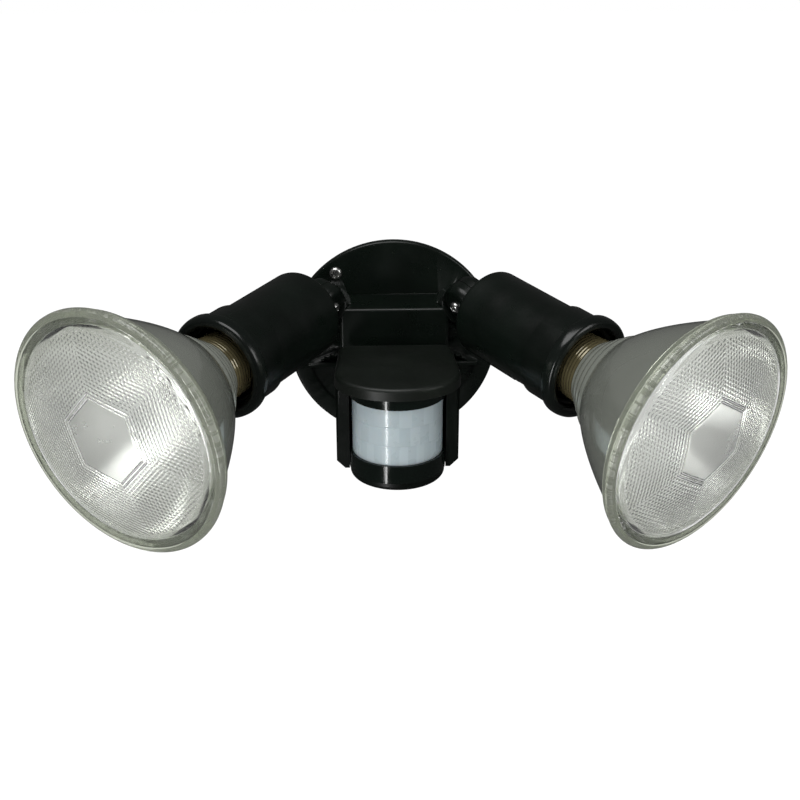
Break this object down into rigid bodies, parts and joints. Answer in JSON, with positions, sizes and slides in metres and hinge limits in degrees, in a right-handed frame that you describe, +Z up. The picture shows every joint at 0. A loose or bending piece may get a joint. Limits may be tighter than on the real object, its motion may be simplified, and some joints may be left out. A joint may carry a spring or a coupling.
{
  "type": "motion sensor security light",
  "caption": "Wall-mounted black security light: round cover with central box, reflector bulbs in aimable holders either side, hooded motion sensor on a ball joint below.",
  "frame": {"origin": "centre of the wall cover's back, on the wall plane, midway between the two cover screws", "axes": "+Y into the wall, -Y towards the viewer in front, +Z up, +X to the viewer's right"},
  "size_m": [0.3654, 0.224, 0.1387],
  "materials": {
    "housing_black": "satin",
    "gloss_black": "gloss",
    "rubber_black": "semi-gloss",
    "foam_grey": "matt",
    "zinc": "bright zinc plated",
    "zinc_cast": "as cast",
    "porcelain": "glazed",
    "brass": "bright",
    "clear_glass": "clear pressed glass",
    "mirror_glass": "aluminised inside",
    "base_metal": "rolled",
    "frosted_lens": "translucent",
    "nylon": "natural",
    "board_green": "solder mask",
    "relay_blue": "gloss",
    "control_grey": "satin"
  },
  "bodies": {
    "cover": {"cover_plate": "housing_black", "foam_gasket": "foam_grey", "cover_screws": "zinc", "sensor_arm": "housing_black", "sensor_arm_seal": "rubber_black", "sensor_arm_locknut": "zinc"},
    "right_lamp_arm": {"right_arm": "housing_black", "right_arm_seal": "rubber_black", "right_arm_locknut": "zinc", "right_knuckle_screw": "zinc"},
    "right_lamp": {"right_knuckle_nut": "zinc", "right_lamp_holder": "housing_black", "right_mouth_ring": "rubber_black", "right_socket_body": "porcelain", "right_screw_shell": "brass", "right_centre_contact": "brass"},
    "right_bulb": {"right_bulb_lens": "clear_glass", "right_bulb_reflector": "mirror_glass", "right_bulb_base": "base_metal", "right_bulb_contact": "base_metal", "right_bulb_burner": "clear_glass"},
    "left_lamp_arm": {"left_arm": "housing_black", "left_arm_seal": "rubber_black", "left_arm_locknut": "zinc", "left_knuckle_screw": "zinc"},
    "left_lamp": {"left_knuckle_nut": "zinc", "left_lamp_holder": "housing_black", "left_mouth_ring": "rubber_black", "left_socket_body": "porcelain", "left_screw_shell": "brass", "left_centre_contact": "brass"},
    "left_bulb": {"left_bulb_lens": "clear_glass", "left_bulb_reflector": "mirror_glass", "left_bulb_base": "base_metal", "left_bulb_contact": "base_metal", "left_bulb_burner": "clear_glass"},
    "ball_collar": {"ball_liner": "nylon"},
    "sensor_head": {"sensor_hood": "housing_black", "sensor_housing": "housing_black", "lens_top_ring": "gloss_black", "sensor_lens": "frosted_lens", "lens_bottom_ring": "gloss_black", "bottom_cap": "housing_black", "cap_screws": "zinc", "circuit_board": "board_green", "board_screws": "zinc", "motion_element": "base_metal", "relay": "relay_blue", "photocell": "clear_glass", "sensor_clamp_screw": "zinc", "sensor_clamp_nut": "zinc"},
    "range_knob_body": {"range_knob": "control_grey"},
    "time_switch_body": {"time_switch": "control_grey"}
  },
  "joints": [
    {"name": "right_arm_swivel", "type": "hinge", "parent": "cover", "child": "right_lamp_arm", "pos_m": [0.04, -0.0321, 0.0337], "axis": [0.2741, -0.792, 0.5455], "range_deg": [-8, 15]},
    {"name": "right_lamp_tilt", "type": "hinge", "parent": "right_lamp_arm", "child": "right_lamp", "pos_m": [0.04, -0.0321, 0.0337], "axis": [0.7856, 0.5116, 0.348], "range_deg": [-25, 12]},
    {"name": "right_bulb_out", "type": "slide", "parent": "right_lamp", "child": "right_bulb", "axis": [0.5822, -0.8017, -0.1356], "range_m": [0, 0.048]},
    {"name": "left_arm_swivel", "type": "hinge", "parent": "cover", "child": "left_lamp_arm", "pos_m": [-0.04, -0.0321, 0.0337], "axis": [0.2741, 0.792, -0.5455], "range_deg": [-8, 15]},
    {"name": "left_lamp_tilt", "type": "hinge", "parent": "left_lamp_arm", "child": "left_lamp", "pos_m": [-0.04, -0.0321, 0.0337], "axis": [0.8153, -0.4922, -0.3049], "range_deg": [-25, 12]},
    {"name": "left_bulb_out", "type": "slide", "parent": "left_lamp", "child": "left_bulb", "axis": [-0.5389, -0.8376, -0.0889], "range_m": [0, 0.048]},
    {"name": "sensor_pan", "type": "hinge", "parent": "cover", "child": "ball_collar", "pos_m": [0, -0.048, -0.004], "axis": [0, 0, 1], "range_deg": [-10, 10]},
    {"name": "sensor_tilt", "type": "hinge", "parent": "ball_collar", "child": "sensor_head", "pos_m": [0, -0.048, -0.004], "axis": [1, 0, 0], "range_deg": [-5, 30]},
    {"name": "range_knob_turn", "type": "hinge", "parent": "sensor_head", "child": "range_knob_body", "pos_m": [-0.011, -0.08, -0.048], "axis": [0, 0, 1], "range_deg": [-135, 135]},
    {"name": "time_switch_slide", "type": "slide", "parent": "sensor_head", "child": "time_switch_body", "axis": [1, 0, 0], "range_m": [-0.003, 0.003]}
  ]
}
